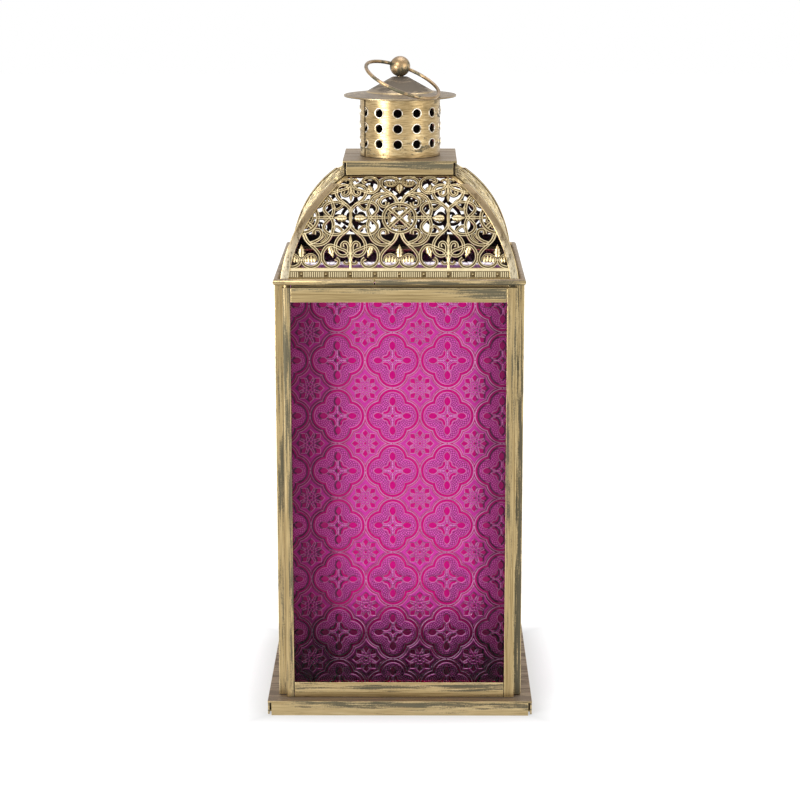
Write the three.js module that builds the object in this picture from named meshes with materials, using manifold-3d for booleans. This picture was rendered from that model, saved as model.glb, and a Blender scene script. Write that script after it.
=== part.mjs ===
// Square candle lantern: a folded sheet-brass base and frame, three fixed panes of pressed
// glass, a hinged glass door, a domed roof of four pierced filigree panels between curved
// ribs, and a round perforated chimney whose ball finial carries a loose wire ring.
// Millimetres, +Z up, origin at the centre of the base's footprint, door facing -Y.

import * as THREE from 'three';
import { mergeVertices } from 'three/addons/utils/BufferGeometryUtils.js';
import Module from 'manifold-3d';

// Driving dimensions, common to the whole lantern
const clearance = 0.3;
const sheet = 0.8;
const overcut = 1;

// Base tray, an upside-down folded pan
const baseOverhang = 5.5;
const baseHeight = 7.6;
const baseHem = 5;
const cornerSlit = 1.1;

// Body frame of corner posts and rails
const bodyHalf = 62;
const bodyHeight = 214.1;
const doorSetback = 4.4;
const postLeg = 8;
const railHeight = 7.5;
const railLedge = 6;
const angleSheet = 0.6;
const angleLeg = 4;
const paneThickness = 2.2;

// Door, hinged on two pins in its left stile
const doorTopGap = 1.3;
const doorSideInset = 3.7;
const channelSheet = 0.5;
const doorPaneThickness = 2;
const hingeStileWidth = 4.2;
const freeStileWidth = 5;
const doorTopRail = 7.2;
const doorBottomRail = 7.8;
const pinRadius = 0.9;
const pinInside = 10;
const pinReach = 1.6;
const pinPlay = 0.3;

// Roof rim with its wired bead
const rimWidth = 10.6;
const beadRadius = 1.6;
const beadInset = 1;
const beadSeamX = -12.3;
const beadSeamGap = 0.7;

// Roof, four panels bent to one arc
const roofFootInset = 2.8;
const roofRise = 49.4;
const roofRadius = 66.2;
const panelThickness = 0.8;
const panelUnderPlate = 4;
const sideBand = 2.2;
const ribSheet = 0.6;
const ribFlange = 4.2;

// Filigree, drawn in one cell that repeats and mirrors
const footBand = 7.15;
const headBand = 1.3;
const cellPitch = 48.5;
const medallionRadius = 8;
const strandWidth = 1.1;
const fineStrandWidth = 0.9;
const budHalfWidth = 1.6;
const strandStep = 5.5;
const curlStep = 4.5;
const flatTolerance = 0.15;
const edgeTolerance = 0.03;
const longestBentRun = 10;

// Top plate, a small folded pan
const plateHalf = 28.75;
const plateHeight = 6.9;
const flueRadius = 16;

// Chimney
const chimneyRadius = 20.5;
const chimneyHeight = 30.4;
const chimneyRows = 3;
const chimneyColumns = 13;
const ventRadius = 2.15;
const ventFootMargin = 7;
const ventHeadMargin = 7.8;
const ventTurn = -3;

// Cap, finial and ring
const capRadius = 28.75;
const capBrimRise = 1.4;
const capStepRadius = 17.2;
const capStep = 0.5;
const capMouthRadius = 4.2;
const capHeight = 9;
const ballRadius = 5.2;
const pegRadius = 1.2;
const pegLength = 5;
const ringRadius = 19.6;
const ringWire = 0.9;
const boreSlope = 19;
const boreTurn = 10;
const leanStep = 0.1;

const library = await Module();
library.setup();

const lantern = new THREE.Group();

// Levels and places that follow from the sizes above
const baseHalf = bodyHalf + baseOverhang;
const frameBottom = baseHeight + clearance;
const ledgeBottom = baseHeight + bodyHeight;
const frameTop = ledgeBottom - clearance;
const ledgeTop = ledgeBottom + sheet;
const bodyFront = doorSetback - bodyHalf;
const bodyBack = bodyHalf;
const doorThickness = doorPaneThickness + 2 * (channelSheet + clearance);
const doorBack = bodyFront - clearance;
const doorFront = doorBack - doorThickness;
const doorBottom = frameBottom;
const doorTop = ledgeBottom - doorTopGap;
const doorHalf = bodyHalf - doorSideInset;
const hinge = new THREE.Vector2(doorThickness / 2 - doorHalf, (doorFront + doorBack) / 2);
const beadCentre = bodyHalf - beadInset;
const rimInner = beadCentre + beadRadius - rimWidth;
const roofFoot = ledgeTop + clearance;
const plateBottom = roofFoot + roofRise + clearance;
const plateTop = plateBottom + plateHeight;
const chimneyBottom = plateTop + clearance;
const chimneyTop = chimneyBottom + chimneyHeight;

function material(colour, roughness, metalness) {
  return new THREE.MeshStandardMaterial({ color: colour, roughness, metalness });
}

function brass() {
  return material(0xb8a07a, 0.5, 0.7);
}

function pressedGlass() {
  const glass = material(0xc0188c, 0.15, 0);
  glass.transparent = true;
  glass.opacity = 0.6;
  return glass;
}

function addPiece(name, geometry, look) {
  geometry.computeVertexNormals();
  const mesh = new THREE.Mesh(geometry, look);
  mesh.name = name;
  lantern.add(mesh);
}

// Closed meshes to solids and back, for the joins and cuts
function toSolid(geometry) {
  const bare = geometry.clone();
  bare.deleteAttribute('normal');
  bare.deleteAttribute('uv');
  const merged = mergeVertices(bare, 1e-4);
  const vertProperties = new Float32Array(merged.attributes.position.array);
  const triVerts = new Uint32Array(merged.index.array);
  return new library.Manifold(new library.Mesh({ numProp: 3, vertProperties, triVerts }));
}

function toGeometry(solid) {
  const mesh = solid.getMesh();
  const geometry = new THREE.BufferGeometry();
  geometry.setAttribute('position', new THREE.BufferAttribute(new Float32Array(mesh.vertProperties), 3));
  geometry.setIndex(new THREE.BufferAttribute(new Uint32Array(mesh.triVerts), 1));
  return geometry;
}

function join(geometries) {
  const solids = geometries.map(toSolid);
  return solids.reduce((whole, piece) => whole.add(piece));
}

function box(low, high) {
  const size = [0, 1, 2].map((k) => high[k] - low[k]);
  const geometry = new THREE.BoxGeometry(size[0], size[1], size[2]);
  geometry.translate(low[0] + size[0] / 2, low[1] + size[1] / 2, low[2] + size[2] / 2);
  return geometry;
}

function outline(points) {
  return new THREE.Shape(points.map(([x, y]) => new THREE.Vector2(x, y)));
}

function extruded(shape, from, to, curveSegments = 12) {
  const settings = { depth: to - from, bevelEnabled: false, curveSegments };
  return new THREE.ExtrudeGeometry(shape, settings).translate(0, 0, from);
}

function uprightCylinder(radius, from, to, sides) {
  const geometry = new THREE.CylinderGeometry(radius, radius, to - from, sides);
  return geometry.rotateX(Math.PI / 2).translate(0, 0, (from + to) / 2);
}

// A folded pan: flat top, four skirts that stop short of the corners, and an optional hem
function foldedPan(half, bottom, top, hem) {
  const pieces = [box([-half, -half, top - sheet], [half, half, top])];
  const skirtHalf = half - sheet - cornerSlit;
  for (let side = 0; side < 4; side += 1) {
    const turn = (side * Math.PI) / 2;
    pieces.push(box([-skirtHalf, -half, bottom], [skirtHalf, sheet - half, top]).rotateZ(turn));
    if (hem > 0) {
      const hemHalf = half - hem - cornerSlit;
      pieces.push(box([-hemHalf, -half, bottom], [hemHalf, hem - half, bottom + sheet]).rotateZ(turn));
    }
  }
  return join(pieces);
}

function addBaseTray() {
  const holeFoot = baseHeight - sheet - overcut;
  const pinHole = uprightCylinder(pinRadius + pinPlay, holeFoot, baseHeight + overcut, 12);
  pinHole.translate(hinge.x, hinge.y, 0);
  const tray = foldedPan(baseHalf, 0, baseHeight, baseHem).subtract(toSolid(pinHole));
  addPiece('base_tray', toGeometry(tray), brass());
}

// An L outline whose outer faces meet at the origin and whose legs run along +x and +y
function angleOutline(legX, legY, thickness) {
  return outline([
    [0, 0],
    [legX, 0],
    [legX, thickness],
    [thickness, thickness],
    [thickness, legY],
    [0, legY],
  ]);
}

const corners = [
  { name: 'front_left', turn: 0, x: -bodyHalf, y: bodyFront },
  { name: 'front_right', turn: 1, x: bodyHalf, y: bodyFront },
  { name: 'back_right', turn: 2, x: bodyHalf, y: bodyBack },
  { name: 'back_left', turn: 3, x: -bodyHalf, y: bodyBack },
];

function addPosts() {
  for (const corner of corners) {
    const post = extruded(angleOutline(postLeg, postLeg, sheet), frameBottom, frameTop);
    post.rotateZ((corner.turn * Math.PI) / 2).translate(corner.x, corner.y, 0);
    addPiece(`post_${corner.name}`, post, brass());
  }
}

// Small angles inside the corners keep the fixed panes against the posts
function addGlazingAngles() {
  const sideInset = sheet + paneThickness + 2 * clearance;
  const frontInset = sheet + clearance;
  for (const corner of corners) {
    const yInset = corner.name.startsWith('front') ? frontInset : sideInset;
    const low = frameBottom + sheet + clearance;
    const high = frameTop - sheet - clearance;
    const angle = extruded(angleOutline(angleLeg, angleLeg, angleSheet), low, high);
    angle.rotateZ((corner.turn * Math.PI) / 2);
    angle.translate(corner.x - Math.sign(corner.x) * sideInset, corner.y - Math.sign(corner.y) * yInset, 0);
    addPiece(`glazing_angle_${corner.name}`, angle, brass());
  }
}

const sides = [
  { name: 'front', turn: 0, offset: -bodyFront },
  { name: 'right', turn: 1, offset: bodyHalf },
  { name: 'back', turn: 2, offset: bodyBack },
  { name: 'left', turn: 3, offset: bodyHalf },
];

// Rails are angles between the posts: an upright flange outside and a ledge turned inwards
function addRails() {
  const across = bodyHalf - postLeg - clearance;
  const frontEnd = bodyFront + postLeg + clearance;
  const backEnd = bodyBack - postLeg - clearance;
  for (const side of sides) {
    const along = side.turn % 2 === 0 ? [-across, across] : [frontEnd, backEnd];
    const span = side.turn === 3 ? [-along[1], -along[0]] : along;
    const lower = join([
      box([span[0], -side.offset, frameBottom], [span[1], sheet - side.offset, frameBottom + railHeight]),
      box([span[0], -side.offset, frameBottom], [span[1], railLedge - side.offset, frameBottom + sheet]),
    ]);
    const upper = join([
      box([span[0], -side.offset, frameTop - railHeight], [span[1], sheet - side.offset, frameTop]),
      box([span[0], -side.offset, frameTop - sheet], [span[1], railLedge - side.offset, frameTop]),
    ]);
    const turn = (side.turn * Math.PI) / 2;
    addPiece(`lower_rail_${side.name}`, toGeometry(lower).rotateZ(turn), brass());
    addPiece(`upper_rail_${side.name}`, toGeometry(upper).rotateZ(turn), brass());
  }
}

function addFixedPanes() {
  const low = frameBottom + sheet + clearance;
  const high = frameTop - sheet - clearance;
  const outer = bodyHalf - sheet - clearance;
  const inner = outer - paneThickness;
  const front = bodyFront + sheet + clearance;
  const back = bodyBack - sheet - clearance;
  addPiece('pane_left', box([-outer, front, low], [-inner, back, high]), pressedGlass());
  addPiece('pane_right', box([inner, front, low], [outer, back, high]), pressedGlass());
  const backHalf = inner - clearance;
  addPiece('pane_back', box([-backHalf, back - paneThickness, low], [backHalf, back, high]), pressedGlass());
}

// The hinge stile is a channel whose closed edge is rolled round the pins' axis
function hingeStileOutline() {
  const inner = hingeStileWidth - doorHalf;
  const outerRadius = doorThickness / 2;
  const shape = new THREE.Shape();
  shape.moveTo(inner, doorBack);
  shape.lineTo(hinge.x, doorBack);
  shape.absarc(hinge.x, hinge.y, outerRadius, Math.PI / 2, (3 * Math.PI) / 2, false);
  shape.lineTo(inner, doorFront);
  shape.lineTo(inner, doorFront + channelSheet);
  shape.lineTo(hinge.x, doorFront + channelSheet);
  shape.absarc(hinge.x, hinge.y, outerRadius - channelSheet, (3 * Math.PI) / 2, Math.PI / 2, true);
  shape.lineTo(inner, doorBack - channelSheet);
  return shape;
}

// A square channel outline, open towards -x, with its web at x = width
function channelOutline(width) {
  const web = width - channelSheet;
  return outline([
    [0, doorFront],
    [width, doorFront],
    [width, doorBack],
    [0, doorBack],
    [0, doorBack - channelSheet],
    [web, doorBack - channelSheet],
    [web, doorFront + channelSheet],
    [0, doorFront + channelSheet],
  ]);
}

function addDoor() {
  const freeInner = doorHalf - freeStileWidth;
  const hingeInner = hingeStileWidth - doorHalf;
  addPiece('door_stile_hinge', extruded(hingeStileOutline(), doorBottom, doorTop, 6), brass());
  const freeStile = extruded(channelOutline(freeStileWidth), doorBottom, doorTop);
  addPiece('door_stile_free', freeStile.translate(freeInner, 0, 0), brass());

  // Rails are the same channel laid across, their webs at the door's top and bottom edges
  const from = hingeInner + clearance;
  const to = freeInner - clearance;
  const topRail = extruded(channelOutline(doorTopRail), -to, -from).rotateY(-Math.PI / 2);
  addPiece('door_rail_top', topRail.translate(0, 0, doorTop - doorTopRail), brass());
  const bottomRail = extruded(channelOutline(doorBottomRail), from, to).rotateY(Math.PI / 2);
  addPiece('door_rail_bottom', bottomRail.translate(0, 0, doorBottom + doorBottomRail), brass());

  const edge = channelSheet + clearance;
  const pane = box(
    [hinge.x + pinRadius + clearance, doorFront + edge, doorBottom + edge],
    [doorHalf - edge, doorBack - edge, doorTop - edge],
  );
  addPiece('door_pane', pane, pressedGlass());

  const lowerPin = uprightCylinder(pinRadius, doorBottom - pinReach, doorBottom + pinInside, 12);
  addPiece('door_pin_bottom', lowerPin.translate(hinge.x, hinge.y, 0), brass());
  const upperPin = uprightCylinder(pinRadius, doorTop - pinInside, ledgeTop - clearance, 12);
  addPiece('door_pin_top', upperPin.translate(hinge.x, hinge.y, 0), brass());
}

// A mitred square ring whose section is given as distance from the axis and height
function squareRing(section) {
  const points = section.map(([distance, z]) => new THREE.Vector2(distance * Math.SQRT2, z));
  points.push(points[0].clone());
  return new THREE.LatheGeometry(points, 4, Math.PI / 4).rotateX(Math.PI / 2);
}

// The rim is a flat ledge whose outer edge is rolled into a bead, butted at one seam
function addRoofRim() {
  const beadSides = 12;
  const beadHeight = ledgeBottom + beadRadius;
  const section = [[rimInner, ledgeTop], [rimInner, ledgeBottom]];
  const start = -Math.PI / 2;
  const joinAngle = Math.asin((ledgeTop - beadHeight) / beadRadius);
  const end = Math.PI - joinAngle;
  for (let k = 0; k <= beadSides; k += 1) {
    const angle = start + ((end - start) * k) / beadSides;
    section.push([beadCentre + beadRadius * Math.cos(angle), beadHeight + beadRadius * Math.sin(angle)]);
  }
  const outer = beadCentre + beadRadius;
  const seam = box(
    [beadSeamX - beadSeamGap / 2, -outer - overcut, ledgeBottom - overcut],
    [beadSeamX + beadSeamGap / 2, overcut - rimInner, beadHeight + beadRadius + overcut],
  );
  const pinHole = uprightCylinder(pinRadius + pinPlay, ledgeBottom - overcut, ledgeTop, 12);
  pinHole.translate(hinge.x, hinge.y, 0);
  const rim = toSolid(squareRing(section)).subtract(toSolid(seam)).subtract(toSolid(pinHole));
  addPiece('roof_rim', toGeometry(rim), brass());
}

// The roof's arc passes through its foot and the inside of the top plate's skirt
const roofArc = (() => {
  const foot = new THREE.Vector2(beadCentre - roofFootInset, roofFoot);
  const head = new THREE.Vector2(plateHalf - sheet, roofFoot + roofRise);
  const chord = head.clone().sub(foot);
  const inward = new THREE.Vector2(-chord.y, chord.x).normalize();
  const sagitta = Math.sqrt(roofRadius ** 2 - (chord.length() / 2) ** 2);
  const centre = foot.clone().addScaledVector(chord, 0.5).addScaledVector(inward, sagitta);
  const footAngle = Math.atan2(foot.y - centre.y, foot.x - centre.x);
  return { centre, footAngle };
})();

// Distance from the axis and height at an arc length up the roof, lifted off its face
function roofPoint(arc, lift) {
  const angle = roofArc.footAngle + arc / roofRadius;
  const radius = roofRadius + lift;
  return {
    half: roofArc.centre.x + radius * Math.cos(angle),
    z: roofArc.centre.y + radius * Math.sin(angle),
  };
}

function arcAtHalf(half) {
  const angle = Math.acos((half - roofArc.centre.x) / roofRadius);
  return (angle - roofArc.footAngle) * roofRadius;
}

// Halves every edge that runs too far up the roof, so that its triangles follow the bend
function divideUpwards(geometry, longestRun) {
  const position = geometry.toNonIndexed().attributes.position;
  const done = [];
  const waiting = [];
  for (let k = 0; k < position.count; k += 3) {
    waiting.push([0, 1, 2].map((n) => new THREE.Vector3().fromBufferAttribute(position, k + n)));
  }
  while (waiting.length > 0) {
    const triangle = waiting.pop();
    const runs = triangle.map((corner, n) => Math.abs(corner.y - triangle[(n + 1) % 3].y));
    const longest = Math.max(...runs);
    if (longest <= longestRun) {
      done.push(...triangle);
    } else {
      const n = runs.indexOf(longest);
      const [a, b, c] = [triangle[n], triangle[(n + 1) % 3], triangle[(n + 2) % 3]];
      const middle = a.clone().add(b).multiplyScalar(0.5);
      waiting.push([a, middle, c], [middle, b, c]);
    }
  }
  return mergeVertices(new THREE.BufferGeometry().setFromPoints(done), 1e-4);
}

// Wraps a flat piece, drawn across, up and outwards, on to the roof's front face
function bend(geometry) {
  const position = geometry.attributes.position;
  for (let k = 0; k < position.count; k += 1) {
    const place = roofPoint(position.getY(k), position.getZ(k));
    position.setXYZ(k, position.getX(k), -place.half, place.z);
  }
  return geometry;
}

// Heights up the arc: the pierced field lies between the foot band and the head band
const panelTop = arcAtHalf(plateHalf - sheet) + panelUnderPlate;
const openTop = panelTop - panelUnderPlate - headBand;
const cellMiddle = (footBand + openTop) / 2;
const cellRise = openTop - footBand;

// The panel's outline between two heights, drawn in by a margin from the mitred corners
function panelOutline(bottom, top, margin) {
  const steps = 10;
  const right = [];
  for (let k = 0; k <= steps; k += 1) {
    const arc = bottom + ((top - bottom) * k) / steps;
    right.push([roofPoint(arc, 0).half - panelThickness - clearance - margin, arc]);
  }
  const left = right.map(([x, y]) => [-x, y]).reverse();
  return outline([...right, ...left]);
}

// Filigree strands are flat strips along smooth curves
function strip(points, width, step = strandStep) {
  const path = new THREE.CatmullRomCurve3(
    points.map(([x, y]) => new THREE.Vector3(x, y, -panelThickness / 2)),
    false,
    'centripetal',
  );
  const half = width / 2;
  const depth = panelThickness / 2;
  const section = outline([[-depth, -half], [depth, -half], [depth, half], [-depth, half]]);
  const steps = Math.max(1, Math.round(path.getLength() / step));
  return new THREE.ExtrudeGeometry(section, { steps, extrudePath: path, bevelEnabled: false });
}

function flat(shape, segments) {
  return extruded(shape, -panelThickness, 0, segments);
}

function ringOf(x, y, radius, width, segments) {
  const shape = new THREE.Shape();
  shape.absarc(x, y, radius + width / 2, 0, 2 * Math.PI, false);
  const hole = new THREE.Path();
  hole.absarc(x, y, radius - width / 2, 0, 2 * Math.PI, true);
  shape.holes.push(hole);
  return flat(shape, segments);
}

// A pointed leaf from its base to its tip
function leaf(base, tip, halfWidth) {
  const from = new THREE.Vector2(base[0], base[1]);
  const to = new THREE.Vector2(tip[0], tip[1]);
  const along = to.clone().sub(from);
  const side = new THREE.Vector2(-along.y, along.x).normalize().multiplyScalar(2 * halfWidth);
  const middle = from.clone().lerp(to, 0.4);
  const shape = new THREE.Shape();
  shape.moveTo(from.x, from.y);
  shape.quadraticCurveTo(middle.x - side.x, middle.y - side.y, to.x, to.y);
  shape.quadraticCurveTo(middle.x + side.x, middle.y + side.y, from.x, from.y);
  return flat(shape, 3);
}

// Points of the drawing are shares of half the cell's width and of half its height,
// counted from the medallion's centre or, for the heart, from the heart's axis.
const loopStrand = [
  [0.03, 0.32], [0.09, 0.45], [0.21, 0.575], [0.33, 0.69], [0.385, 0.8],
  [0.355, 0.92], [0.235, 0.985], [0.12, 0.975], [0.04, 0.92], [0.01, 0.82],
];
const outerScroll = [
  [0.05, 0.33], [0.13, 0.49], [0.24, 0.55], [0.37, 0.555], [0.505, 0.5],
  [0.595, 0.385], [0.64, 0.25], [0.645, 0.11], [0.6, 0],
];
const innerScroll = [
  [0.17, 0.525], [0.3, 0.48], [0.39, 0.41], [0.41, 0.32], [0.35, 0.25], [0.27, 0.265], [0.25, 0.34],
];
const heartLobe = [
  [0, 0.18], [0.1, 0.29], [0.21, 0.385], [0.285, 0.49], [0.31, 0.594], [0.29, 0.69], [0.21, 0.76],
  [0.12, 0.77], [0.055, 0.73], [0.035, 0.65], [0.045, 0.56], [0.11, 0.505], [0.17, 0.54], [0.165, 0.6],
];
const footScroll = [
  [0.01, 0.82], [0.08, 0.69], [0.21, 0.632], [0.325, 0.585], [0.425, 0.565], [0.525, 0.635],
  [0.573, 0.765], [0.545, 0.89], [0.445, 0.975], [0.345, 0.985], [0.26, 0.94], [0.24, 0.87], [0.3, 0.82],
];
const crossStrand = [
  [0, 0.12], [0.035, 0.215], [0.15, 0.31], [0.29, 0.35], [0.425, 0.335], [0.525, 0.265],
  [0.55, 0.18], [0.495, 0.09], [0.4, 0],
];

// Shares for the straight bar's outer end and for the bud's base and tip
const barEnd = 0.66;
const budBase = 0.9;
const budTip = 0.57;

function filigreeCell(centre) {
  const halfPitch = cellPitch / 2;
  const halfRise = cellRise / 2;
  const pieces = [ringOf(centre, cellMiddle, medallionRadius, strandWidth, 8)];
  for (const across of [-1, 1]) {
    // The medallion carries crossed ribbons, and a bar ties it to the heart's axis
    const reach = medallionRadius * Math.SQRT1_2;
    const ribbonEnd = [centre + across * reach, cellMiddle + reach];
    pieces.push(strip([[2 * centre - ribbonEnd[0], cellMiddle - reach], ribbonEnd], strandWidth));
    const barStart = [centre + across * medallionRadius, cellMiddle];
    pieces.push(strip([barStart, [centre + across * barEnd * halfPitch, cellMiddle]], strandWidth));
    for (const up of [-1, 1]) {
      const fromMedallion = ([u, v]) => [centre + across * u * halfPitch, cellMiddle + up * v * halfRise];
      const fromHeart = ([u, v]) => [centre + across * (1 - u) * halfPitch, cellMiddle + up * v * halfRise];
      pieces.push(strip(loopStrand.map(fromMedallion), strandWidth, curlStep));
      pieces.push(strip(outerScroll.map(fromMedallion), strandWidth));
      pieces.push(strip(innerScroll.map(fromMedallion), fineStrandWidth));
      pieces.push(strip(heartLobe.map(fromHeart), strandWidth));
      pieces.push(strip(footScroll.map(fromHeart), strandWidth, curlStep));
      pieces.push(strip(crossStrand.map(fromHeart), strandWidth));
    }
  }
  for (const up of [-1, 1]) {
    const base = [centre, cellMiddle + up * budBase * halfRise];
    const tip = [centre, cellMiddle + up * budTip * halfRise];
    pieces.push(leaf(base, tip, budHalfWidth));
  }
  return pieces;
}

// The upright stem in the middle of each heart, beaded like a turned spindle, and the
// spindle that joins the two hearts' points
function heartStem(axis) {
  const halfRise = cellRise / 2;
  const profile = [[0.36, 0], [0.45, 1], [0.52, 0.45], [0.7, 0.6], [0.85, 1], [0.93, 0.6], [1.03, 0.8]];
  const spindle = [[0.2, 0.4], [0, 1], [-0.2, 0.4]];
  const mirrored = (points, up) => {
    const right = points.map(([share, width]) => [axis + width, cellMiddle + up * share * halfRise]);
    const left = points.map(([share, width]) => [axis - width, cellMiddle + up * share * halfRise]);
    return flat(outline([...right, ...left.filter(([x]) => x !== axis).reverse()]));
  };
  return [mirrored(profile, 1), mirrored(profile, -1), mirrored(spindle, 1)];
}

function roofPanel() {
  const whole = toSolid(flat(panelOutline(0, panelTop, 0)));
  const opening = toSolid(flat(panelOutline(footBand, openTop, sideBand)).scale(1, 1, 3));
  const border = whole.subtract(opening);
  const strands = [];
  for (const centre of [-cellPitch, 0, cellPitch]) {
    strands.push(...filigreeCell(centre));
  }
  for (const axis of [-cellPitch / 2, cellPitch / 2]) {
    strands.push(...heartStem(axis));
  }
  const filigree = library.Manifold.union(strands.map(toSolid));
  // Each simplify drops points that joining leaves on the flat faces
  const strandwork = filigree.intersect(whole).asOriginal().simplify(flatTolerance);
  return border.add(strandwork).asOriginal().simplify(edgeTolerance);
}

function addRoofPanels() {
  const panel = bend(divideUpwards(toGeometry(roofPanel()), longestBentRun));
  for (const side of sides) {
    addPiece(`roof_panel_${side.name}`, panel.clone().rotateZ((side.turn * Math.PI) / 2), brass());
  }
}

// Each rib is an angle bent over the mitre of two panels
function addRoofRibs() {
  const steps = 9;
  const top = arcAtHalf(plateHalf + clearance);
  const lift = clearance + ribSheet;
  const strap = new THREE.BoxGeometry(ribFlange, top, ribSheet, 1, steps, 1).toNonIndexed();
  strap.translate(ribFlange / 2, top / 2, clearance + ribSheet / 2);
  const flatPosition = strap.attributes.position;
  for (let k = 0; k < flatPosition.count; k += 1) {
    const corner = roofPoint(flatPosition.getY(k), lift).half;
    flatPosition.setX(k, flatPosition.getX(k) - corner);
  }
  const frontFlange = bend(strap);
  const sideFlange = frontFlange.clone();
  const position = sideFlange.attributes.position;
  for (let k = 0; k < position.count; k += 3) {
    // Swapping x and y mirrors the flange, so each triangle is also turned over
    const triangle = [0, 2, 1].map((n) => [position.getY(k + n), position.getX(k + n), position.getZ(k + n)]);
    triangle.forEach((point, n) => position.setXYZ(k + n, point[0], point[1], point[2]));
  }
  const rib = toGeometry(join([frontFlange, sideFlange]));
  for (const corner of corners) {
    addPiece(`roof_rib_${corner.name}`, rib.clone().rotateZ((corner.turn * Math.PI) / 2), brass());
  }
}

function addTopPlate() {
  const flue = uprightCylinder(flueRadius, plateTop - sheet - overcut, plateTop + overcut, 32);
  const plate = foldedPan(plateHalf, plateBottom, plateTop, 0).subtract(toSolid(flue));
  addPiece('top_plate', toGeometry(plate), brass());
}

function addChimney() {
  const inner = chimneyRadius - sheet;
  const section = [
    [inner, chimneyBottom],
    [chimneyRadius, chimneyBottom],
    [chimneyRadius, chimneyTop],
    [inner, chimneyTop],
    [inner, chimneyBottom],
  ];
  // Two flats for each column of vents, so that every vent lies in the middle of one flat
  const flats = 2 * chimneyColumns;
  const points = section.map(([r, z]) => new THREE.Vector2(r / Math.cos(Math.PI / flats), z));
  const tube = new THREE.LatheGeometry(points, flats, Math.PI / flats).rotateX(Math.PI / 2);
  tube.rotateZ(THREE.MathUtils.degToRad(ventTurn));
  const ventRowPitch = (chimneyHeight - ventFootMargin - ventHeadMargin) / (chimneyRows - 1);
  const drills = [];
  for (let row = 0; row < chimneyRows; row += 1) {
    for (let column = 0; column < chimneyColumns; column += 1) {
      const drill = new THREE.CylinderGeometry(ventRadius, ventRadius, 2 * (sheet + overcut), 8);
      drill.translate(0, -chimneyRadius, 0);
      const angle = THREE.MathUtils.degToRad(ventTurn) + (2 * Math.PI * column) / chimneyColumns;
      drill.rotateZ(angle).translate(0, 0, chimneyBottom + ventFootMargin + row * ventRowPitch);
      drills.push(toSolid(drill));
    }
  }
  const chimney = toSolid(tube).subtract(library.Manifold.union(drills));
  addPiece('chimney', toGeometry(chimney.asOriginal().simplify(edgeTolerance)), brass());
}

// The cap is a brim, a low step and a cone with a flat top, all spun from one sheet. Its brim
// sits on the chimney's top edge, and the ball sits over the hole in its flat top.
const brimSlope = capBrimRise / (capRadius - capStepRadius);
const capEdge = chimneyTop + clearance - brimSlope * (capRadius - chimneyRadius) + sheet;
const capTop = capEdge + capHeight;
const pegHole = pegRadius + pinPlay;
const ballCentreZ = capTop + clearance + Math.sqrt(ballRadius ** 2 - pegHole ** 2);
const ballCentre = new THREE.Vector3(0, 0, ballCentreZ);
const capUpper = [
  [capRadius, 0],
  [capStepRadius, capBrimRise],
  [capStepRadius - capStep, capBrimRise + capStep],
  [capMouthRadius, capHeight],
  [pegHole, capHeight],
].map(([r, z]) => new THREE.Vector2(r, capEdge + z));

function addCap() {
  const capLower = [
    [pegHole, capHeight - sheet],
    [capMouthRadius - capStep, capHeight - sheet],
    [capStepRadius - 2 * capStep, capBrimRise + capStep - sheet],
    [capStepRadius, capBrimRise - sheet],
    [capRadius, -sheet],
  ].map(([r, z]) => new THREE.Vector2(r, capEdge + z));
  const section = [...capUpper, ...capLower, capUpper[0].clone()];
  addPiece('cap', new THREE.LatheGeometry(section, 24).rotateX(Math.PI / 2), brass());
}

// The bore through the ball slopes down to the right, and the ring hangs in it
const boreAxis = new THREE.Vector3(1, 0, 0)
  .applyAxisAngle(new THREE.Vector3(0, 1, 0), THREE.MathUtils.degToRad(boreSlope))
  .applyAxisAngle(new THREE.Vector3(0, 0, 1), THREE.MathUtils.degToRad(boreTurn));

// Inside the ball the ring's curved wire keeps to both sides of the bore's axis by half of this
const wireSag = ringRadius - Math.sqrt(ringRadius ** 2 - ballRadius ** 2);
const boreRadius = ringWire + wireSag / 2 + clearance;

function addFinial() {
  const ball = new THREE.SphereGeometry(ballRadius, 16, 10).rotateX(Math.PI / 2);
  ball.translate(ballCentre.x, ballCentre.y, ballCentre.z);
  const peg = uprightCylinder(pegRadius, capTop - pegLength, ballCentre.z, 12);
  const bore = new THREE.CylinderGeometry(boreRadius, boreRadius, 4 * ballRadius, 12);
  const turn = new THREE.Quaternion().setFromUnitVectors(new THREE.Vector3(0, 1, 0), boreAxis);
  bore.applyQuaternion(turn).translate(ballCentre.x, ballCentre.y, ballCentre.z);
  const finial = join([ball, peg]).subtract(toSolid(bore));
  addPiece('finial_ball', toGeometry(finial), brass());
}

// Where the ring lies when it has swung forwards about the bore by an angle in degrees
function ringPlace(lean) {
  const upright = new THREE.Vector3(0, 0, 1).addScaledVector(boreAxis, -boreAxis.z).normalize();
  const towards = upright.applyAxisAngle(boreAxis, THREE.MathUtils.degToRad(lean));
  const centre = ballCentre.clone().addScaledVector(towards, ringRadius - wireSag / 2);
  return { towards, centre };
}

// The least gap between the ring's wire and the top of the cap at a lean
function gapToCap(lean) {
  const { towards, centre } = ringPlace(lean);
  let least = Infinity;
  for (let degrees = 0; degrees < 360; degrees += 5) {
    const angle = THREE.MathUtils.degToRad(degrees);
    const point = centre.clone().addScaledVector(towards, ringRadius * Math.cos(angle));
    point.addScaledVector(boreAxis, ringRadius * Math.sin(angle));
    const seen = new THREE.Vector3(Math.hypot(point.x, point.y), point.z, 0);
    for (let k = 1; k < capUpper.length; k += 1) {
      const low = new THREE.Vector3(capUpper[k - 1].x, capUpper[k - 1].y, 0);
      const high = new THREE.Vector3(capUpper[k].x, capUpper[k].y, 0);
      const nearest = new THREE.Line3(low, high).closestPointToPoint(seen, true, new THREE.Vector3());
      least = Math.min(least, nearest.distanceTo(seen));
    }
  }
  return least - ringWire;
}

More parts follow.
